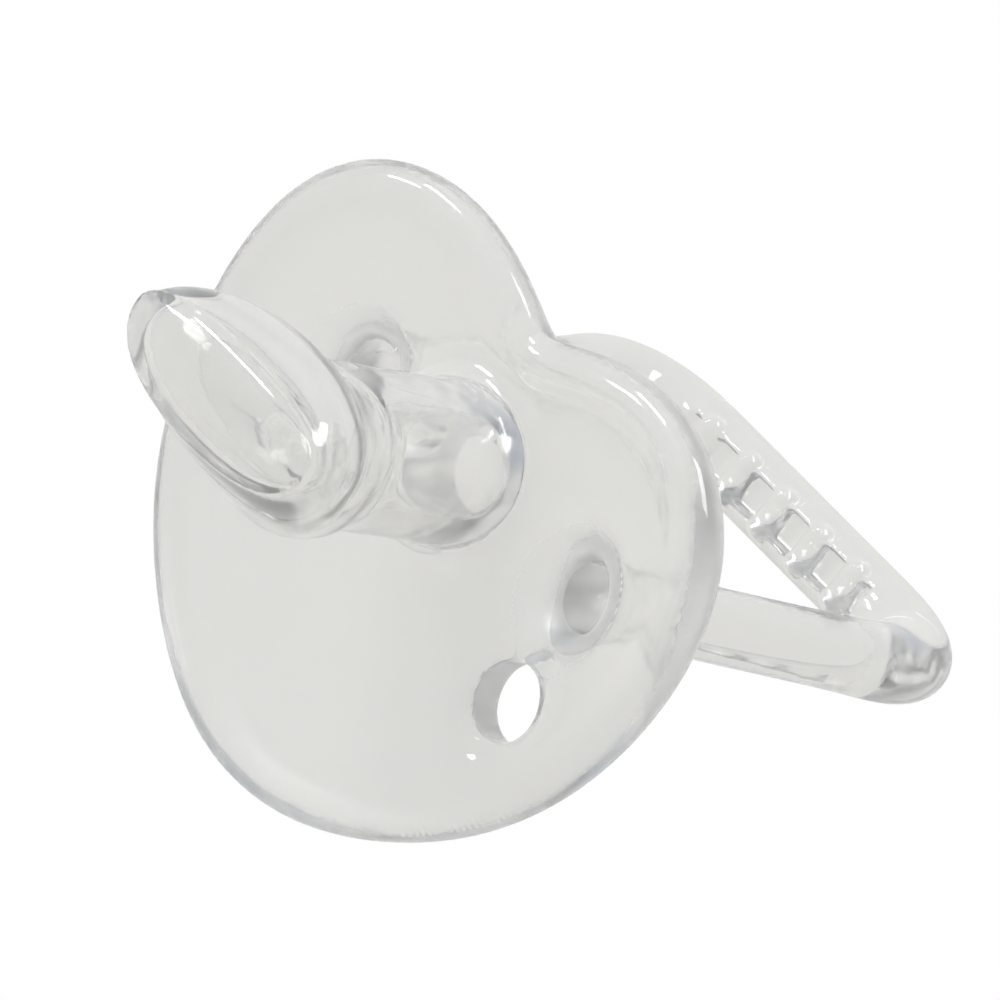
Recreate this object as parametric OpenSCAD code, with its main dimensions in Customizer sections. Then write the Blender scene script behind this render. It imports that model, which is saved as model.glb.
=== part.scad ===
// One-piece silicone soother: a heart-shaped dished shield with a full-round
// rim, a hollow orthodontic teat, two vents and a looped handle with grip ribs.
// Each part is drawn in the shield's own frame (X across, Y towards the nose
// notch, Z towards the baby) and is then laid on the table, where the soother
// rests on the chin side of its rim and on the back of its handle.

/* [Shield] */
// Mean radius of the rim's centreline
outline_r = 18.3; // [17.5:0.1:19.5]
// How far the chin side reaches beyond the nose side
outline_drop = 3.6; // [3:0.1:4]
// How much wider than high the outline is
outline_wide = 2.7; // [2.3:0.1:3.1]
// Depth of the nose notch
outline_notch = 1.75; // [1.4:0.05:2]
// Fullness of the cheeks
outline_cheek = 0.45; // [0.2:0.05:0.6]
// Centre of the outline, measured from the teat's axis
outline_y = -1.7; // [-2.5:0.1:-1]
// Thickness of the plate
plate_t = 3.7; // [3.2:0.1:3.8]
// Thickness of the full-round rim
rim_t = 3.9; // [3.4:0.1:4.4]
// Radius of the shield's curve from side to side
curve_x = 165; // [120:5:240]
// Radius of the shield's curve from nose to chin
curve_y = 96; // [70:2:110]

/* [Vents] */
// Distance of each vent from the middle
vent_x = 13.1; // [12:0.1:13.4]
// Height of the vents relative to the teat's axis
vent_y = -8.4; // [-9:0.1:-7.6]
// Radius of the vent bore
vent_r = 2.6; // [2.5:0.1:2.9]
// Radius of the rounded mouth on the baby's side
vent_mouth_r = 4; // [3.6:0.1:4.2]

/* [Teat] */
// Outer radius of the neck
neck_r = 5.1; // [4.6:0.1:5.3]
// Radius of the hollow core
core_r = 3.3; // [2.8:0.1:3.6]
// Wall of the bulb
bulb_wall = 1.6; // [1.2:0.1:1.9]
// Widest half width of the bulb
bulb_w = 9.2; // [8.6:0.1:9.8]
// Upward tilt of the teat in degrees
teat_tilt = 0; // [0:0.1:4]
// Height of the teat's tip above the shield's middle plane
teat_len = 27.2; // [26.4:0.1:28.5]
// Radius of the fillet where the neck meets the shield
collar_fillet = 1.8; // [1.2:0.1:2.2]

/* [Handle] */
// Distance from the shield's middle plane to the bar's centre
handle_len = 31.9; // [28:0.1:34]
// Half distance between the legs at the shield
root_x = 10.9; // [10.4:0.1:11.4]
// Half distance between the legs at the bar, before rounding
corner_x = 16.1; // [15:0.1:17]
// Length of the rounded corner along each side
corner_r = 7; // [6:0.1:8]
// Height of the legs at the shield
handle_y = -1.4; // [-2:0.1:0]
// Upward tilt of the handle in degrees
handle_tilt = 2; // [0:0.5:4]
// Half thickness of the legs across the loop
leg_a = 2.2; // [2:0.1:2.6]
// Half thickness of the legs through the loop
leg_b = 2.4; // [2:0.1:2.6]
// Half thickness of the bar across the loop
bar_a = 2.9; // [2.6:0.1:3.1]
// Half thickness of the bar through the loop
bar_b = 2.5; // [2.4:0.1:2.9]
// Number of grip ribs
rib_count = 5; // [3:1:5]
// Distance between grip ribs
rib_pitch = 3.8; // [3.4:0.1:4]
// Radius of a grip rib
rib_r = 0.9; // [0.7:0.1:1]
// How far a rib stands out of the bar's channel
rib_out = 0.2; // [0:0.1:0.4]
// Width of the channel that the ribs cross
channel_w = 2.2; // [1.8:0.1:2.6]
// Depth of the channel
channel_d = 1.2; // [0.8:0.1:1.4]
// Turn of the channel about the bar, towards the nose side, in degrees
channel_turn = 12; // [0:1:20]

/* [Hidden] */

clear_silicone = [0.86, 0.87, 0.86];
rim_tint = [0.88, 0.86, 0.80];

// --- the shield's curved middle surface and its outline ---
function surf(x, y) =
    curve_x - sqrt(pow(curve_x - curve_y + sqrt(curve_y * curve_y - y * y), 2) - x * x);
function outline_at(a) = outline_r - outline_drop * cos(a) - outline_wide * cos(2 * a)
    - outline_notch * cos(3 * a) - outline_cheek * cos(4 * a) - 0.1 * cos(5 * a) + 0.1 * cos(6 * a);
function rim_xy(a) = [outline_at(a) * sin(a), outline_at(a) * cos(a) + outline_y];
function rim_point(a) = let (p = rim_xy(a)) [p[0], p[1], surf(p[0], p[1])];
function unit(v) = v / norm(v);
function surf_normal(x, y) = unit([-(surf(x + 0.01, y) - surf(x - 0.01, y)) / 0.02,
                                   -(surf(x, y + 0.01) - surf(x, y - 0.01)) / 0.02, 1]);
rim_steps = 120;
rim_sides = 16;
plate_inset = 0.4;

// --- the teat's stations: distance along it, half width, top, bottom, lift ---
neck_start = 4.2;
neck_end = 8.5;
bulb_start = 13;
bulb_z = [bulb_start, 15, 18, 21, 24, 26];
bulb_x = [neck_r, neck_r + 0.7, bulb_w - 2.4, bulb_w - 0.6, bulb_w, bulb_w - 0.3];
bulb_up = [neck_r, 4.5, 5.0, 5.4, 4.5, 2.5];
bulb_dn = [neck_r, 5.7, 6.1, 5.4, 4.7, 4.1];
bulb_lift = 2.7;
bulb_steps = 22;
cap_steps = 8;
bulb_sides = 40;
bulb_power = 0.87;

// cubic through stations, with the slope at each taken from its neighbours
function seg(t, xs, i = 0) = (i >= len(xs) - 2 || t < xs[i + 1]) ? i : seg(t, xs, i + 1);
function slope(xs, ys, i) = i == 0 ? (ys[1] - ys[0]) / (xs[1] - xs[0])
    : i == len(xs) - 1 ? (ys[i] - ys[i - 1]) / (xs[i] - xs[i - 1])
    : (ys[i + 1] - ys[i - 1]) / (xs[i + 1] - xs[i - 1]);
function thru(t, xs, ys) = let (i = seg(t, xs), h = xs[i + 1] - xs[i], s = (t - xs[i]) / h,
    a = slope(xs, ys, i) * h, b = slope(xs, ys, i + 1) * h)
    ys[i] * (2 * s * s * s - 3 * s * s + 1) + a * (s * s * s - 2 * s * s + s)
    + ys[i + 1] * (3 * s * s - 2 * s * s * s) + b * (s * s * s - s * s);
function spow(v, e) = sign(v) * pow(abs(v), e);
function lift(z) = bulb_lift * pow((z - bulb_start) / (26 - bulb_start), 1.5);
function bulb_ring(z, k, cut) = let (
        a = (thru(z, bulb_z, bulb_x) - cut) * k,
        t = (thru(z, bulb_z, bulb_up) - cut) * k,
        b = (thru(z, bulb_z, bulb_dn) - cut) * k)
    [for (i = [0:bulb_sides - 1]) let (q = 360 * i / bulb_sides)
        [a * spow(cos(q), bulb_power),
         (sin(q) >= 0 ? t : b) * spow(sin(q), bulb_power) + lift(z)]];
function at_z(ring, z) = [for (p = ring) [p[0], p[1], z]];
// the tip is a dome from its last station on, set back by the wall on the inside
function bulb_rings(cut) = let (stop = 26 - cut, tip = teat_len - cut) concat(
    [for (i = [0:bulb_steps]) let (z = bulb_start + (stop - bulb_start) * i / bulb_steps)
        at_z(bulb_ring(z, 1, z == bulb_start ? neck_r - (cut == 0 ? neck_r : core_r) : cut), z)],
    [for (i = [1:cap_steps - 1]) let (q = 90 * i / cap_steps, z = stop + (tip - stop) * sin(q))
        at_z(bulb_ring(stop, cos(q), cut), z)]);

// closed skin over rings of equal length; a cup when two stacks share a mouth
function strip(r, n) = [for (j = [0:n - 1]) [r * n + j, r * n + (j + 1) % n, (r + 1) * n + (j + 1) % n, (r + 1) * n + j]];

// --- the handle's path: distance behind the shield, distance from the middle ---
leg_dir = unit([root_x - corner_x, handle_len]);
corner_in = [corner_x, handle_len] + [root_x - corner_x, -handle_len] / norm([root_x - corner_x, handle_len]) * corner_r;
function leg_pt(s) = [root_x + (corner_x - root_x) * s / handle_len, s];
function corner_pt(t) = (1 - t) * (1 - t) * corner_in + 2 * t * (1 - t) * [corner_x, handle_len]
    + t * t * [corner_x - corner_r, handle_len];
function corner_tan(t) = unit(2 * (1 - t) * ([corner_x, handle_len] - corner_in)
    + 2 * t * ([corner_x - corner_r, handle_len] - [corner_x, handle_len]));
leg_tan = unit([corner_x - root_x, handle_len]);
bar_half = corner_x - corner_r;
root_end = 6.4;
root_start = 0.4;
function grow(s) = 1 / (1 + exp(-20 * (s / handle_len - 0.8)));
function root_flare(s) = 1 + 0.28 * exp(-max(0, s - 1.4) / 1.3);
function half_a(s) = (leg_a + (bar_a - leg_a) * grow(s)) * root_flare(s);
function half_b(s) = (leg_b + (bar_b - leg_b) * grow(s)) * root_flare(s);
tube_sides = 24;
// a ring at p with tangent t, both in the loop's plane
function loop_ring(p, t, a, b) = [for (i = [0:tube_sides - 1]) let (q = 360 * i / tube_sides)
    [p[0] + a * cos(q) * t[1], b * sin(q), -(p[1] - a * cos(q) * t[0])]];
root_rings = [for (i = [0:12]) let (s = root_start + (root_end - root_start) * i / 12)
    loop_ring(leg_pt(s), leg_tan, half_a(s), half_b(s))];
leg_stop = corner_in[1];
leg_rings = concat(
    [for (i = [0:14]) let (s = root_end + (leg_stop - root_end) * i / 14)
        loop_ring(leg_pt(s), leg_tan, half_a(s), half_b(s))],
    [for (i = [1:14]) let (t = i / 14, p = corner_pt(t))
        loop_ring(p, corner_tan(t), i == 14 ? bar_a : half_a(p[1]), i == 14 ? bar_b : half_b(p[1]))]);

// --- how it lies on the table ---
chin = rim_point(180);
bar_y = handle_y + handle_len * sin(handle_tilt);
bar_z = -handle_len * cos(handle_tilt);
// one step of refinement is enough: the bar's reach hardly changes with the angle
function bar_reach(q) = norm([bar_a * sin(q + handle_tilt), bar_b * cos(q + handle_tilt)]);
function lie(q) = atan2(bar_y - chin[1], chin[2] - bar_z)
    + asin((rim_t / 2 - bar_reach(q)) / norm([bar_y - chin[1], chin[2] - bar_z]));
lie_angle = lie(lie(31));
function row_y(p) = -p[2] * cos(lie_angle) + p[1] * sin(lie_angle);
function row_z(p) = p[2] * sin(lie_angle) + p[1] * cos(lie_angle);
function tilted(p) = [p[0], p[1] * cos(teat_tilt) + p[2] * sin(teat_tilt),
                      -p[1] * sin(teat_tilt) + p[2] * cos(teat_tilt)];
front_y = min([for (r = bulb_rings(0)) for (p = r) row_y(tilted(p))]);
back_y = row_y([0, bar_y, bar_z]) + norm([bar_a * cos(lie_angle + handle_tilt), bar_b * sin(lie_angle + handle_tilt)]);
lie_y = -(front_y + back_y) / 2;
lie_z = rim_t / 2 - row_z(chin);

module lay() { translate([0, lie_y, lie_z]) rotate([90 - lie_angle, 0, 0]) children(); }
module on_teat() { lay() rotate([-teat_tilt, 0, 0]) children(); }
module on_handle() { lay() translate([0, handle_y, 0]) rotate([handle_tilt, 0, 0]) children(); }

// solid skin through a stack of rings, closed flat at both ends
module skin(rings) {
    n = len(rings[0]);
    m = len(rings);
    polyhedron([for (r = rings) for (p = r) p],
        concat([[for (j = [0:n - 1]) j]],
               [for (i = [0:m - 2]) for (f = strip(i, n)) [f[0], f[3], f[2], f[1]]],
               [[for (j = [n - 1:-1:0]) (m - 1) * n + j]]));
}

module shield_plate() {
    color(clear_silicone) lay() difference() {
        intersection() {
            translate([0, 0, curve_x]) rotate([-90, 90, 0]) rotate([0, 0, -11])
                rotate_extrude(angle = 22, $fn = 720) intersection() {
                    translate([curve_x - curve_y, 0]) difference() {
                        circle(r = curve_y + plate_t / 2, $fn = 720);
                        circle(r = curve_y - plate_t / 2, $fn = 720);
                    }
                    translate([curve_x - 20, -32]) square([40, 64]);
                }
            translate([0, 0, -8]) linear_extrude(20)
                polygon([for (i = [0:rim_steps - 1]) let (a = 360 * i / rim_steps,
                    p = rim_xy(a), q = rim_xy(a + 1), t = unit(q - rim_xy(a - 1)))
                    p - [-t[1], t[0]] * plate_inset]);
        }
        for (s = [-1, 1]) translate([s * vent_x, vent_y, 0]) {
            translate([0, 0, -8]) cylinder(r = vent_r, h = 20, $fn = 96);
            translate([0, 0, 1.9]) cylinder(r1 = vent_r, r2 = vent_r + 2 * (vent_mouth_r - vent_r), h = 1.65, $fn = 96);
            translate([0, 0, -2]) cylinder(r1 = vent_r + 1.2, r2 = vent_r, h = 1.4, $fn = 96);
        }
        rotate([-teat_tilt, 0, 0]) translate([0, 0, -8]) cylinder(r = core_r, h = 20, $fn = 96);
    }
}

module shield_rim() {
    n = rim_sides;
    rings = [for (i = [0:rim_steps - 1]) let (a = 360 * i / rim_steps, c = rim_point(a),
        t = unit(rim_point(a + 0.5) - rim_point(a - 0.5)), up = surf_normal(c[0], c[1]),
        side = unit(cross(t, up)), top = cross(side, t))
        [for (j = [0:n - 1]) let (q = 360 * j / n) c + rim_t / 2 * (cos(q) * side + sin(q) * top)]];
    color(rim_tint) lay() polyhedron([for (r = rings) for (p = r) p],
        [for (i = [0:rim_steps - 1]) for (j = [0:n - 1])
            let (k = (i + 1) % rim_steps, l = (j + 1) % n)
            [i * n + j, i * n + l, k * n + l, k * n + j]]);
}

module teat_collar() {
    f = collar_fillet;
    low = neck_start - f;
    color(clear_silicone) on_teat() rotate_extrude($fn = 96) difference() {
        translate([core_r, low - 1.3]) square([neck_r - core_r + f, f + 1.3]);
        translate([neck_r + f, neck_start]) circle(r = f, $fn = 96);
        translate([neck_r, neck_start]) square([f + 1, 1]);
    }
}

module teat_neck() {
    color(clear_silicone) on_teat() translate([0, 0, neck_start]) difference() {
        cylinder(r = neck_r, h = neck_end - neck_start, $fn = 96);
        translate([0, 0, -1]) cylinder(r = core_r, h = neck_end - neck_start + 2, $fn = 96);
    }
}

module teat_shank() {
    color(clear_silicone) on_teat() translate([0, 0, neck_end]) difference() {
        cylinder(r = neck_r, h = bulb_start - neck_end, $fn = 96);
        translate([0, 0, -1]) cylinder(r = core_r, h = bulb_start - neck_end + 2, $fn = 96);
    }
}

module teat_bulb() {
    outer = bulb_rings(0);
    inner = bulb_rings(bulb_wall);
    m = len(outer);
    n = bulb_sides;
    pts = concat([for (r = outer) for (p = r) p], [for (r = inner) for (p = r) p],
                 [[0, lift(26), teat_len], [0, lift(26 - bulb_wall), teat_len - bulb_wall]]);
    color(clear_silicone) on_teat() polyhedron(pts, concat(
        [for (i = [0:m - 2]) for (f = strip(i, n)) [f[0], f[3], f[2], f[1]]],
        [for (i = [0:m - 2]) for (f = strip(i, n)) [for (v = f) v + m * n]],
        [for (j = [0:n - 1]) [j, (j + 1) % n, m * n + (j + 1) % n, m * n + j]],
        [for (j = [0:n - 1]) [(m - 1) * n + j, 2 * m * n, (m - 1) * n + (j + 1) % n]],
        [for (j = [0:n - 1]) [(2 * m - 1) * n + (j + 1) % n, 2 * m * n + 1, (2 * m - 1) * n + j]]));
}

module handle_root(s) { on_handle() mirror([s < 0 ? 1 : 0, 0, 0]) skin(root_rings); }
module handle_leg(s) { on_handle() mirror([s < 0 ? 1 : 0, 0, 0]) skin(leg_rings); }
module handle_root_left() { color(clear_silicone) handle_root(-1); }
module handle_root_right() { color(clear_silicone) handle_root(1); }
module handle_leg_left() { color(clear_silicone) handle_leg(-1); }
module handle_leg_right() { color(clear_silicone) handle_leg(1); }

// the channel's own frame: on the bar's axis, turned towards the nose side
module in_channel() { on_handle() translate([0, 0, -handle_len]) rotate([-channel_turn, 0, 0]) children(); }

module handle_bar() {
    ring = [for (p = loop_ring([0, 0], [-1, 0], bar_a, bar_b)) [p[2], p[1]]];
    color(clear_silicone) difference() {
        on_handle() translate([0, 0, -handle_len]) rotate([0, -90, 0])
            translate([0, 0, -bar_half]) linear_extrude(2 * bar_half) polygon(ring);
        in_channel() translate([-bar_half - 1, -channel_w / 2, bar_a - channel_d])
            cube([2 * bar_half + 2, channel_w, channel_d + 1]);
    }
}

module grip_ribs() {
    color(rim_tint) in_channel() for (i = [0:rib_count - 1])
        translate([(i - (rib_count - 1) / 2) * rib_pitch, 0, bar_a + rib_out - rib_r]) {
            rotate([90, 0, 0]) cylinder(r = rib_r, h = channel_w, center = true, $fn = 48);
            for (e = [-0.5, 0.5]) translate([0, e * channel_w, 0]) sphere(r = rib_r, $fn = 48);
        }
}

shield_plate();
shield_rim();
teat_collar();
teat_neck();
teat_shank();
teat_bulb();
handle_root_left();
handle_root_right();
handle_leg_left();
handle_leg_right();
handle_bar();
grip_ribs();
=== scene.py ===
import math

import bmesh
import bpy
import numpy as np
from mathutils import Matrix, Vector


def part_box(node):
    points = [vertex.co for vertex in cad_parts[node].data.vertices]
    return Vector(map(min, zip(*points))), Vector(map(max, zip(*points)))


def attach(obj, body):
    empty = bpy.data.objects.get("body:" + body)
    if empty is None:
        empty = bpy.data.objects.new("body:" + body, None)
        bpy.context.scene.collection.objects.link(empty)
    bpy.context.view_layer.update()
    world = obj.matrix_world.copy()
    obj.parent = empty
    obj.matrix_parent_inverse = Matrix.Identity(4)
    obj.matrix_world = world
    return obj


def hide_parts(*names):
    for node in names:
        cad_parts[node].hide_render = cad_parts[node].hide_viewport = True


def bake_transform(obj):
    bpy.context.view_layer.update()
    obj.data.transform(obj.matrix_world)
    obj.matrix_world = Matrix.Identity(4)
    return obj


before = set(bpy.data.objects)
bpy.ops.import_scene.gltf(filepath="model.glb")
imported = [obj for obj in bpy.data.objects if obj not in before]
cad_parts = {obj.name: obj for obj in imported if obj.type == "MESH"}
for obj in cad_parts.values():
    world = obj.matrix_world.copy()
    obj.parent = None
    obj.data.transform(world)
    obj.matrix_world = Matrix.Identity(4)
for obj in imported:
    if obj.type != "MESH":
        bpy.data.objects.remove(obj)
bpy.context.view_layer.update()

# ----------------------------------------------------------------------------
# The soother's dimensions in millimetres, in the shield's own frame:
# u across, v towards the nose notch, n towards the baby.
# ----------------------------------------------------------------------------
PLATE = 1.8            # half thickness of the plate
RIM = 1.95             # half thickness of the full-round rim
CURVE_U, CURVE_V = 165.0, 96.0
OUTLINE = (18.3, -3.6, -2.7, -1.75, -0.45, -0.1, 0.1)
OUTLINE_V = -1.7
VENT = (13.1, -8.4)
VENT_R = 2.6
NECK, CORE, WALL = 5.1, 3.3, 1.6
TEAT_TILT = 0.0
TEAT_LEN = 27.2
BULB_Z = np.array([13.0, 15, 18, 21, 24, 26])
BULB_A = np.array([5.1, 5.8, 6.8, 8.6, 9.2, 8.9])
BULB_T = np.array([5.1, 4.5, 5.0, 5.4, 4.5, 2.5])
BULB_B = np.array([5.1, 5.7, 6.1, 5.4, 4.7, 4.1])
BULB_LIFT = 2.7
HANDLE_LEN, ROOT_X, CORNER_X, CORNER_R = 31.9, 10.9, 16.1, 7.0
HANDLE_V, HANDLE_TILT = -1.4, math.radians(2.0)
LEG_A, LEG_B, BAR_A, BAR_B = 2.2, 2.4, 2.9, 2.5
RIB_PITCH, RIB_R, RIB_OUT = 3.8, 0.9, 0.2
CHANNEL_W, CHANNEL_D, CHANNEL_TURN = 2.2, 1.2, math.radians(12)


def smooth(t):
    t = np.clip(t, 0, 1)
    return t * t * (3 - 2 * t)


def smin(a, b, k):
    h = np.clip(0.5 + 0.5 * (b - a) / k, 0, 1)
    return b + (a - b) * h - k * h * (1 - h)


def smax(a, b, k):
    return -smin(-a, -b, k)


def surf(u, v):
    r = CURVE_U - CURVE_V + np.sqrt(CURVE_V**2 - v * v)
    return CURVE_U - np.sqrt(r * r - u * u)


# ---- how it lies on the table: the same rule as the CAD model ----
def rim_point(a):
    r = sum(c * math.cos(k * a) for k, c in enumerate(OUTLINE))
    u, v = r * math.sin(a), r * math.cos(a) + OUTLINE_V
    return u, v, float(surf(np.float64(u), np.float64(v)))


_, chin_v, chin_n = rim_point(math.pi)
bar_v = HANDLE_V + HANDLE_LEN * math.sin(HANDLE_TILT)
bar_n = -HANDLE_LEN * math.cos(HANDLE_TILT)
LIE = math.radians(31)
for _ in range(3):
    reach = math.hypot(BAR_A * math.sin(LIE + HANDLE_TILT), BAR_B * math.cos(LIE + HANDLE_TILT))
    LIE = math.atan2(bar_v - chin_v, chin_n - bar_n) + math.asin((RIM - reach) / math.hypot(bar_v - chin_v, chin_n - bar_n))
SL, CL = math.sin(LIE), math.cos(LIE)
box_lo, box_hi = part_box("handle_bar")
# the bar's CAD box fixes the shift along Y, and the chin fixes the height
bar_y = -bar_n * CL + bar_v * SL
bar_reach_y = math.hypot(BAR_A * math.cos(LIE + HANDLE_TILT), BAR_B * math.sin(LIE + HANDLE_TILT))
SHIFT_Y = box_hi[1] * 1000 - bar_reach_y - bar_y
SHIFT_Z = RIM - (chin_n * SL + chin_v * CL)


def to_row(p):
    """Shield frame in mm to the row frame in metres."""
    p = np.asarray(p, float)
    return np.stack([p[..., 0], -p[..., 2] * CL + p[..., 1] * SL + SHIFT_Y,
                     p[..., 2] * SL + p[..., 1] * CL + SHIFT_Z], -1) / 1000


def dir_row(d):
    d = np.asarray(d, float)
    return np.stack([d[..., 0], -d[..., 2] * CL + d[..., 1] * SL, d[..., 2] * SL + d[..., 1] * CL], -1)


# ---- distance tables: to the rim's centreline and to the handle's centreline ----
STEP = 0.1


def polyline_table(path, lo, hi, closed, along):
    """Distance from each point of a grid to a polyline, and the value of along at the nearest point."""
    gx = np.arange(lo[0], hi[0] + STEP, STEP)
    gy = np.arange(lo[1], hi[1] + STEP, STEP)
    q = np.stack(np.meshgrid(gx, gy, indexing="ij"), -1).reshape(-1, 2)
    best = np.empty(len(q))
    tag = np.empty(len(q))
    n = len(path)
    nxt = np.roll(path, -1, 0) if closed else np.vstack([path[1:], path[-1:]])
    for c in range(0, len(q), 4000):
        b = q[c:c + 4000]
        d2 = (b**2).sum(1)[:, None] + (path**2).sum(1)[None] - 2 * b @ path.T
        i = d2.argmin(1)
        res, val = np.full(len(b), 1e9), np.zeros(len(b))
        for j in ((i - 1) % n if closed else np.maximum(i - 1, 0), i):
            p, e = path[j], nxt[j] - path[j]
            t = np.clip(((b - p) * e).sum(1) / np.maximum((e * e).sum(1), 1e-12), 0, 1)
            d = np.hypot(*(b - p - t[:, None] * e).T)
            k = (j + 1) % n if closed else np.minimum(j + 1, n - 1)
            near = d < res
            val = np.where(near, along[j] * (1 - t) + along[k] * t, val)
            res = np.minimum(res, d)
        best[c:c + 4000], tag[c:c + 4000] = res, val
    shape = (len(gx), len(gy))
    return best.reshape(shape), tag.reshape(shape), q.reshape(shape + (2,))


def lookup(table, lo, x, y):
    fx = np.clip((x - lo[0]) / STEP, 0, table.shape[0] - 1.001)
    fy = np.clip((y - lo[1]) / STEP, 0, table.shape[1] - 1.001)
    i, j = fx.astype(int), fy.astype(int)
    a, b = fx - i, fy - j
    return (table[i, j] * (1 - a) * (1 - b) + table[i + 1, j] * a * (1 - b)
            + table[i, j + 1] * (1 - a) * b + table[i + 1, j + 1] * a * b)


ang = np.radians(np.arange(0, 360, 0.25))
rad = sum(c * np.cos(k * ang) for k, c in enumerate(OUTLINE))
rim_path = np.stack([rad * np.sin(ang), rad * np.cos(ang) + OUTLINE_V], -1)
RIM_LO = (-1.0, -30.0)
rim_d, _, rim_q = polyline_table(rim_path, RIM_LO, (27.0, 19.0), True, ang)
# inside is positive: the outline is star-shaped about its centre
qa = np.arctan2(rim_q[..., 0], rim_q[..., 1] - OUTLINE_V)
rim_d = np.where(np.hypot(rim_q[..., 0], rim_q[..., 1] - OUTLINE_V) < sum(c * np.cos(k * qa) for k, c in enumerate(OUTLINE)), rim_d, -rim_d)

norm0 = math.hypot(CORNER_X - ROOT_X, HANDLE_LEN)
corner_in = np.array([CORNER_X, HANDLE_LEN]) + np.array([ROOT_X - CORNER_X, -HANDLE_LEN]) / norm0 * CORNER_R
corner_c = np.array([CORNER_X, HANDLE_LEN])
corner_out = corner_c - np.array([CORNER_R, 0])
t1 = np.linspace(0, 1, 200)[:, None]
root = np.array([ROOT_X, 0.0])
leg_path = root + (corner_in - root) * t1
cor_path = (1 - t1) ** 2 * corner_in + 2 * t1 * (1 - t1) * corner_c + t1**2 * corner_out
bar_path = corner_out + (np.array([-1.0, HANDLE_LEN]) - corner_out) * t1
half_path = np.vstack([leg_path[:-1], cor_path[:-1], bar_path])
HAN_LO = (-1.0, -4.0)
han_d, han_s, _ = polyline_table(half_path, HAN_LO, (22.0, 38.0), False, half_path[:, 1])


def f_shield(u, v, n):
    e = 0.02
    w = surf(u, v)
    wu, wv = (surf(u + e, v) - w) / e, (surf(u, v + e) - w) / e
    q = (n - w) / np.sqrt(1 + wu * wu + wv * wv)
    d = lookup(rim_d, RIM_LO, np.abs(u), v)
    h = PLATE + (RIM - PLATE) * (1 - smooth((d - 0.2) / 1.3))
    return np.where(d >= 0, np.abs(q) - h, np.hypot(q, np.minimum(d, 0)) - RIM), q


# the bulb's stations, rounded a little where the neck swells into it
fine_z = np.arange(6.0, 28.0, 0.05)


def through(z, ys):
    xs = BULB_Z
    sl = np.gradient(ys, xs)
    sl[1:-1] = (ys[2:] - ys[:-2]) / (xs[2:] - xs[:-2])
    sl[0] = (ys[1] - ys[0]) / (xs[1] - xs[0])
    sl[-1] = (ys[-1] - ys[-2]) / (xs[-1] - xs[-2])
    zz = np.clip(z, xs[0], xs[-1])
    i = np.clip(np.searchsorted(xs, zz, side="right") - 1, 0, len(xs) - 2)
    h = xs[i + 1] - xs[i]
    s = (zz - xs[i]) / h
    return (ys[i] * (2 * s**3 - 3 * s**2 + 1) + sl[i] * h * (s**3 - 2 * s**2 + s)
            + ys[i + 1] * (3 * s**2 - 2 * s**3) + sl[i + 1] * h * (s**3 - s**2))


def blur(y, width):
    k = np.exp(-0.5 * (np.arange(-60, 61) * 0.05 / width) ** 2)
    k /= k.sum()
    return np.convolve(np.pad(y, 60, mode="edge"), k, "valid")


def stations(ys, base, cut):
    out = np.where(fine_z < BULB_Z[0], base, through(fine_z, ys) - cut)
    return blur(out, 0.4)


OUT = [stations(BULB_A, NECK, 0), stations(BULB_T, NECK, 0), stations(BULB_B, NECK, 0)]
INN = [stations(BULB_A, CORE, WALL), stations(BULB_T, CORE, WALL), stations(BULB_B, CORE, WALL)]


def f_loft(x, y, z, tables, cut):
    a, t, b = (np.interp(z, fine_z, k) for k in tables)
    y = y - BULB_LIFT * np.clip((z - 13) / 13, 0, 1) ** 1.5
    p = 2 + 0.3 * smooth((z - 12.5) / 3)
    h = np.where(y >= 0, t, b)
    rho = ((np.abs(x) / a + 1e-9) ** p + (np.abs(y) / h + 1e-9) ** p) ** (1 / p)
    cap = np.maximum(0, (z - 26 + cut) / (TEAT_LEN - 26))
    size = np.interp(z, [0, 13, 20, 26], [tables[0][0], tables[0][0], 5, 2.5])
    return (np.sqrt(rho**2 + cap**2) - 1) * size


def f_handle(u, v, n):
    ct, st = math.cos(HANDLE_TILT), math.sin(HANDLE_TILT)
    y = (v - HANDLE_V) * ct + n * st
    s = (v - HANDLE_V) * st - n * ct
    e = lookup(han_d, HAN_LO, np.abs(u), s)
    at = lookup(han_s, HAN_LO, np.abs(u), s)
    g = 1 / (1 + np.exp(-20 * (at / HANDLE_LEN - 0.8)))
    flare = 1 + 0.16 * np.exp(-np.maximum(0, at - 1.4) / 1.3)
    a = (LEG_A + (BAR_A - LEG_A) * g) * flare
    b = (LEG_B + (BAR_B - LEG_B) * g) * flare
    f = (np.sqrt((e / a) ** 2 + (y / b) ** 2) - 1) * np.minimum(a, b)
    f = np.maximum(f, 0.6 - s)
    # a channel along the bar's inner face, crossed by the grip ribs
    cc, cs = math.cos(CHANNEL_TURN), math.sin(CHANNEL_TURN)
    up = (HANDLE_LEN - s) * cc + y * cs
    side = y * cc - (HANDLE_LEN - s) * cs
    end = np.abs(u) - 9.3
    box = np.maximum(np.maximum(np.abs(side) - CHANNEL_W / 2, end), BAR_A - CHANNEL_D - up)
    f = smax(f, -box, 0.35)
    k = np.clip(np.round(u / RIB_PITCH), -2, 2) * RIB_PITCH
    rib = np.sqrt((u - k) ** 2 + (up - (BAR_A + RIB_OUT - RIB_R)) ** 2
                  + (side - np.clip(side, -CHANNEL_W / 2, CHANNEL_W / 2)) ** 2) - RIB_R
    return smin(f, rib, 0.3)


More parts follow.
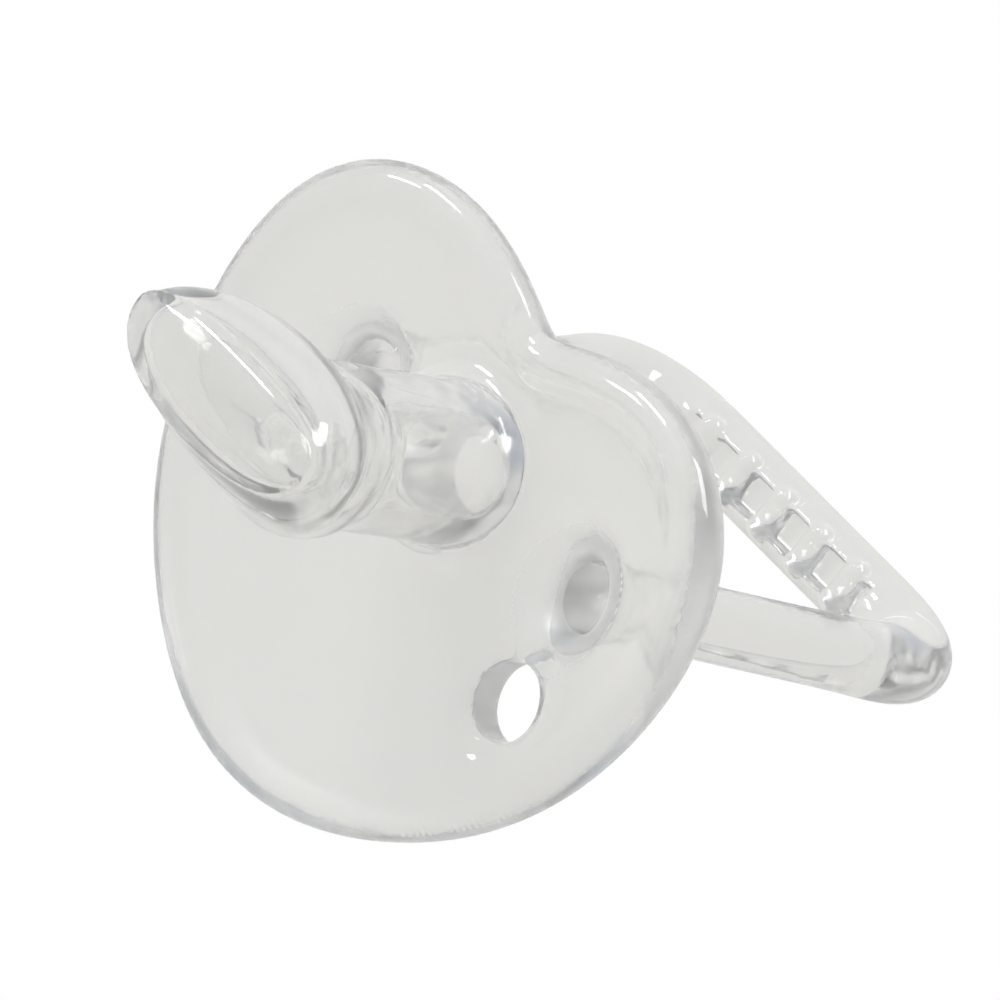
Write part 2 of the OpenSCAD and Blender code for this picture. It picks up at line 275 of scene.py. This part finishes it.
def field(p):
    """Below zero inside the silicone; close to the distance in mm near the skin."""
    u, v, n = p[..., 0], p[..., 1], p[..., 2]
    f, q = f_shield(u, v, n)
    ct, st = math.cos(TEAT_TILT), math.sin(TEAT_TILT)
    y, z = v * ct - n * st, v * st + n * ct
    teat = np.maximum(f_loft(u, y, z, OUT, 0), 1.2 - z)
    f = smin(f, teat, 2.6)
    f = smin(f, f_handle(u, v, n), 3.4)
    core = np.maximum(f_loft(u, y, z, INN, WALL), -6 - z)
    f = smax(f, -core, 0.6)
    rv = VENT_R + 1.4 * np.clip((q - 0.95) / 0.85, 0, 1.4) ** 1.4 + 0.35 * np.clip((-q - 1.2) / 0.6, 0, 1.3) ** 2
    return smax(f, rv - np.hypot(np.abs(u) - VENT[0], v - VENT[1]), 0.5)


def gradient(p, e=0.04):
    g = np.empty_like(p)
    for i in range(3):
        d = np.zeros(3)
        d[i] = e
        g[:, i] = (field(p + d) - field(p - d)) / (2 * e)
    return g


def skin(h):
    """Surface nets over the field, then relaxed and pulled onto the surface."""
    lo = np.array([-23.1, -25.5, -36.0])
    size = np.ceil((np.array([23.1, 13.8, 28.5]) - lo) / (4 * h)).astype(int)
    cb = lo + (np.stack(np.meshgrid(*[np.arange(k) for k in size], indexing="ij"), -1) + 0.5) * 4 * h
    coarse = field(cb.reshape(-1, 3)).reshape(size)
    near = np.abs(coarse) < 4 * h * 1.6
    vals = np.repeat(np.repeat(np.repeat(np.where(coarse < 0, -9.0, 9.0), 4, 0), 4, 1), 4, 2)
    vals = np.pad(vals, ((0, 1), (0, 1), (0, 1)), mode="edge").astype(np.float32)
    bi = np.argwhere(near)
    off = np.stack(np.meshgrid(*[np.arange(5)] * 3, indexing="ij"), -1).reshape(-1, 3)
    idx = (bi[:, None] * 4 + off[None]).reshape(-1, 3)
    flat = np.unique(np.ravel_multi_index(idx.T, vals.shape))
    idx = np.stack(np.unravel_index(flat, vals.shape), -1)
    vals.reshape(-1)[flat] = field(lo + idx * h)
    s = vals < 0
    c = np.zeros(tuple(k - 1 for k in vals.shape), np.int8)
    for dx in (0, 1):
        for dy in (0, 1):
            for dz in (0, 1):
                c += s[dx:dx + c.shape[0], dy:dy + c.shape[1], dz:dz + c.shape[2]]
    cells = np.argwhere((c > 0) & (c < 8))
    num = -np.ones(c.shape, np.int64)
    num[tuple(cells.T)] = np.arange(len(cells))
    total, count = np.zeros((len(cells), 3)), np.zeros(len(cells))
    for ax in range(3):
        o1, o2 = [a for a in range(3) if a != ax]
        for i in (0, 1):
            for j in (0, 1):
                a = cells.copy()
                a[:, o1] += i
                a[:, o2] += j
                b = a.copy()
                b[:, ax] += 1
                va, vb = vals[tuple(a.T)].astype(float), vals[tuple(b.T)].astype(float)
                hit = (va < 0) != (vb < 0)
                t = np.where(hit, va / np.where(hit, va - vb, 1), 0)
                pt = a.astype(float)
                pt[:, ax] += t
                total += pt * hit[:, None]
                count += hit
    verts = lo + total / count[:, None] * h
    quads = []
    for ax in range(3):
        o1, o2 = (ax + 1) % 3, (ax + 2) % 3
        sl_a = [slice(None)] * 3
        sl_b = [slice(None)] * 3
        sl_a[ax], sl_b[ax] = slice(0, -1), slice(1, None)
        a, b = s[tuple(sl_a)], s[tuple(sl_b)]
        e = np.argwhere(a != b)
        e = e[(e[:, o1] > 0) & (e[:, o2] > 0) & (e[:, o1] < c.shape[o1]) & (e[:, o2] < c.shape[o2])]
        ring = []
        for i, j in ((-1, -1), (0, -1), (0, 0), (-1, 0)):
            k = e.copy()
            k[:, o1] += i
            k[:, o2] += j
            ring.append(num[tuple(k.T)])
        ring = np.stack(ring, -1)
        inward = a[tuple(e.T)]
        ring = np.where(inward[:, None], ring, ring[:, ::-1])
        quads.append(ring)
    quads = np.vstack(quads)
    quads = quads[(quads >= 0).all(1)]
    edges = np.unique(np.sort(np.vstack([quads[:, [0, 1]], quads[:, [1, 2]], quads[:, [2, 3]], quads[:, [3, 0]]]), 1), axis=0)
    deg = np.bincount(edges.ravel(), minlength=len(verts)).astype(float)

    def project(p, n):
        for _ in range(n):
            g = gradient(p)
            f = field(p)
            step = f[:, None] * g / np.maximum((g * g).sum(1), 1e-3)[:, None]
            size = np.linalg.norm(step, axis=1, keepdims=True)
            p = p - step * np.minimum(1, h / np.maximum(size, 1e-9))
        return p

    verts = project(verts, 2)
    for _ in range(4):
        mean = np.zeros_like(verts)
        for i in range(3):
            mean[:, i] = (np.bincount(edges[:, 0], verts[edges[:, 1], i], len(verts))
                          + np.bincount(edges[:, 1], verts[edges[:, 0], i], len(verts)))
        mean /= deg[:, None]
        g = gradient(verts)
        g /= np.linalg.norm(g, axis=1, keepdims=True)
        move = mean - verts
        move -= (move * g).sum(1, keepdims=True) * g
        verts = project(verts + 0.6 * move, 1)
    return project(verts, 2), quads


H = 0.3
verts, quads = skin(H)


def make_mesh(name, verts, faces):
    me = bpy.data.meshes.new(name)
    me.from_pydata(verts.tolist(), [], faces.tolist() if hasattr(faces, "tolist") else faces)
    me.update()
    ob = bpy.data.objects.new(name, me)
    bpy.context.collection.objects.link(ob)
    return ob


# ---- cut the one skin into its shield, teat and handle sections ----
whole = make_mesh("whole", verts, quads)
bm = bmesh.new()
bm.from_mesh(whole.data)
bpy.data.objects.remove(whole)
CUT_Z = 5.0     # along the teat
CUT_S = 2.6     # behind the shield, along the handle
tz = Vector((0, math.sin(TEAT_TILT), math.cos(TEAT_TILT)))
hs = Vector((0, math.sin(HANDLE_TILT), -math.cos(HANDLE_TILT)))
h0 = Vector((0, HANDLE_V, 0))


def region(co):
    if co.dot(tz) > 0 and math.hypot(co.x, co.y) < 12.5 and co.dot(tz) > 3:
        return "teat"
    return "handle" if (co - h0).dot(hs) > 1.9 else "shield"


def cut(where, at, normal):
    geom = [f for f in bm.faces if where(f.calc_center_median())]
    es = {e for f in geom for e in f.edges}
    vs = {v for f in geom for v in f.verts}
    bmesh.ops.bisect_plane(bm, geom=list(geom) + list(es) + list(vs), plane_co=at, plane_no=normal, dist=1e-5)


cut(lambda c: region(c) == "teat" and abs(c.dot(tz) - CUT_Z) < 1.2, tz * CUT_Z, tz)
cut(lambda c: region(c) == "handle" and abs((c - h0).dot(hs) - CUT_S) < 1.2, h0 + hs * CUT_S, hs)
bm.verts.index_update()
bm.verts.ensure_lookup_table()
parts = {"shield": [], "teat": [], "handle": []}
for f in bm.faces:
    c = f.calc_center_median()
    r = region(c)
    if r == "teat" and c.dot(tz) < CUT_Z or r == "handle" and (c - h0).dot(hs) < CUT_S:
        r = "shield"
    parts[r].append([v.index for v in f.verts])
co = np.array([v.co for v in bm.verts])
bm.free()
nrm = gradient(co)
nrm /= np.linalg.norm(nrm, axis=1, keepdims=True)

pieces = {}
for name, faces in parts.items():
    used = np.unique(np.concatenate([np.array(f) for f in faces]))
    back = -np.ones(len(co), int)
    back[used] = np.arange(len(used))
    ob = make_mesh(name + "_skin", to_row(co[used]), [[int(back[i]) for i in f] for f in faces])
    ob.data.polygons.foreach_set("use_smooth", [True] * len(ob.data.polygons))
    ob.data.normals_split_custom_set_from_vertices([tuple(x) for x in dir_row(nrm[used])])
    pieces[name] = ob
    print(name, len(used), "vertices", len(faces), "faces")

# ----------------------------------------------------------------------------
# Material: clear moulded silicone
# ----------------------------------------------------------------------------


def silicone(name, tint, milk, low_rough, high_rough):
    m = bpy.data.materials.new(name)
    m.use_nodes = True
    nt = m.node_tree
    b = nt.nodes["Principled BSDF"]
    b.inputs["Base Color"].default_value = (*tint, 1)
    b.inputs["Transmission Weight"].default_value = 1 - milk
    b.inputs["IOR"].default_value = 1.41
    tc = nt.nodes.new("ShaderNodeTexCoord")
    # a fine orange-peel off the mould, and broad soft waves in the polish
    fine = nt.nodes.new("ShaderNodeTexNoise")
    fine.inputs["Scale"].default_value = 420
    fine.inputs["Detail"].default_value = 4
    wave = nt.nodes.new("ShaderNodeTexNoise")
    wave.inputs["Scale"].default_value = 75
    wave.inputs["Detail"].default_value = 1.5
    nt.links.new(tc.outputs["Object"], fine.inputs["Vector"])
    nt.links.new(tc.outputs["Object"], wave.inputs["Vector"])
    ramp = nt.nodes.new("ShaderNodeMapRange")
    ramp.inputs["From Min"].default_value = 0.3
    ramp.inputs["From Max"].default_value = 0.7
    ramp.inputs["To Min"].default_value = low_rough
    ramp.inputs["To Max"].default_value = high_rough
    nt.links.new(fine.outputs["Fac"], ramp.inputs["Value"])
    nt.links.new(ramp.outputs["Result"], b.inputs["Roughness"])
    low = nt.nodes.new("ShaderNodeBump")
    low.inputs["Strength"].default_value = 0.25
    low.inputs["Distance"].default_value = 0.0006
    nt.links.new(wave.outputs["Fac"], low.inputs["Height"])
    bump = nt.nodes.new("ShaderNodeBump")
    bump.inputs["Strength"].default_value = 0.12
    bump.inputs["Distance"].default_value = 0.0001
    nt.links.new(fine.outputs["Fac"], bump.inputs["Height"])
    nt.links.new(low.outputs["Normal"], bump.inputs["Normal"])
    nt.links.new(bump.outputs["Normal"], b.inputs["Normal"])
    return m


clear = silicone("clear_silicone", (0.985, 0.983, 0.966), 0.09, 0.03, 0.1)
# the mould leaves the back of the shield and the inside of the core satin
satin = silicone("satin_silicone", (0.985, 0.983, 0.966), 0.09, 0.16, 0.26)
frosted = silicone("frosted_silicone", (0.985, 0.983, 0.966), 0.12, 0.34, 0.46)
for name, ob in pieces.items():
    ob.data.materials.append(clear)
    ob.data.materials.append(satin)
    ob.data.materials.append(frosted)
    if name == "handle":
        along = np.array([f.center for f in ob.data.polygons]) @ dir_row((0, 0, -1)) * 1000 + dir_row((0, 0, 1)) @ to_row((0, 0, 0)) * 1000
        ob.data.polygons.foreach_set("material_index", np.where(along < 5, 2, along < 9).astype(int))
    if name == "shield":
        down = np.array([f.normal for f in ob.data.polygons]) @ dir_row((0, 0, 1))
        mid = np.array([f.center for f in ob.data.polygons]) @ dir_row((0, 0, 1))
        plane = dir_row((0, 0, 1)) @ to_row((0, 0, 0))
        depth = (mid - plane) * 1000
        side = np.abs(np.array([f.center.x for f in ob.data.polygons]) * 1000)
        back = (down < -0.35) & (depth < 3.5) | (depth < -1.2)
        # and etched where the mould's leg inserts meet the plate
        root = (depth < -0.9) & (np.abs(side - ROOT_X) < 5.5) & (down > -0.93)
        ob.data.polygons.foreach_set("material_index", np.where(root, 2, back).astype(int))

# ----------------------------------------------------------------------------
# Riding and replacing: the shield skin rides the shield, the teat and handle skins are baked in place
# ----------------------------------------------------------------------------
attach(pieces["shield"], "shield")
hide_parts("shield_plate", "shield_rim", "teat_collar")
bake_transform(pieces["teat"])
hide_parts("teat_neck", "teat_shank", "teat_bulb")
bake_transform(pieces["handle"])
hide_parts("handle_root_left", "handle_root_right", "handle_leg_left", "handle_leg_right", "handle_bar", "grip_ribs")

# ----------------------------------------------------------------------------
# Floor, light, camera
# ----------------------------------------------------------------------------
sc = bpy.context.scene
sc.view_settings.view_transform = "Standard"
sc.cycles.max_bounces = 24
sc.cycles.transmission_bounces = 20
sc.cycles.glossy_bounces = 8
sc.cycles.transparent_max_bounces = 16

me = bpy.data.meshes.new("floor")
me.from_pydata([(-2, -2, 0), (2, -2, 0), (2, 2, 0), (-2, 2, 0)], [], [(0, 1, 2, 3)])
floor = bpy.data.objects.new("floor", me)
bpy.context.collection.objects.link(floor)
fm = bpy.data.materials.new("floor")
fm.use_nodes = True
fn = fm.node_tree
fn.nodes.remove(fn.nodes["Principled BSDF"])
# burnt out to white where the camera sees it, a light grey sweep to the silicone
fe = fn.nodes.new("ShaderNodeEmission")
lp = fn.nodes.new("ShaderNodeLightPath")
mix = fn.nodes.new("ShaderNodeMix")
mix.data_type = "RGBA"
mix.inputs["A"].default_value = (0.74, 0.735, 0.72, 1)
mix.inputs["B"].default_value = (1.0, 1.0, 1.0, 1)
fn.links.new(lp.outputs["Is Camera Ray"], mix.inputs["Factor"])
fn.links.new(mix.outputs["Result"], fe.inputs["Color"])
fn.links.new(fe.outputs["Emission"], fn.nodes["Material Output"].inputs["Surface"])
me.materials.append(fm)

world = bpy.data.worlds.new("studio")
sc.world = world
world.use_nodes = True
wn = world.node_tree
bg = wn.nodes["Background"]
wc = wn.nodes.new("ShaderNodeTexCoord")
wsep = wn.nodes.new("ShaderNodeSeparateXYZ")
wr = wn.nodes.new("ShaderNodeValToRGB")
wn.links.new(wc.outputs["Generated"], wsep.inputs["Vector"])
wn.links.new(wsep.outputs["Z"], wr.inputs["Fac"])
cr = wr.color_ramp
cr.elements[0].position, cr.elements[0].color = 0.0, (0.74, 0.73, 0.71, 1)
cr.elements[1].position, cr.elements[1].color = 0.9, (0.23, 0.26, 0.31, 1)
mid = cr.elements.new(0.35)
mid.color = (0.42, 0.45, 0.50, 1)
wn.links.new(wr.outputs["Color"], bg.inputs["Color"])
bg.inputs["Strength"].default_value = 1.0


def area(name, loc, size, power, aim=(0, 0, 0.015), color=(1, 1, 1)):
    li = bpy.data.lights.new(name, "AREA")
    li.shape = "RECTANGLE"
    li.size, li.size_y = size
    li.energy = power
    li.color = color
    ob = bpy.data.objects.new(name, li)
    ob.location = loc
    ob.rotation_mode = "QUATERNION"
    ob.rotation_quaternion = (Vector(aim) - Vector(loc)).to_track_quat("-Z", "Y")
    bpy.context.collection.objects.link(ob)
    return ob


area("key", (-0.5, 0.02, 0.75), (0.1, 0.28), 5)
area("front", (-0.62, -0.3, 0.55), (0.08, 0.2), 3)
area("fill", (0.25, 0.55, 0.7), (0.5, 0.25), 5)

cam = bpy.data.cameras.new("camera")
cam.sensor_width = 36
cam.lens = 665.66
cam.clip_start, cam.clip_end = 0.01, 20
co_ = bpy.data.objects.new("camera", cam)
rc = Matrix(((0.582301, -0.594373, 0.554659), (0.806047, 0.333232, -0.489126), (0.105893, 0.7319, 0.673134)))
co_.matrix_world = Matrix.Translation((0.630586, -0.556731, 0.780926)) @ rc.to_4x4()
bpy.context.collection.objects.link(co_)
sc.camera = co_
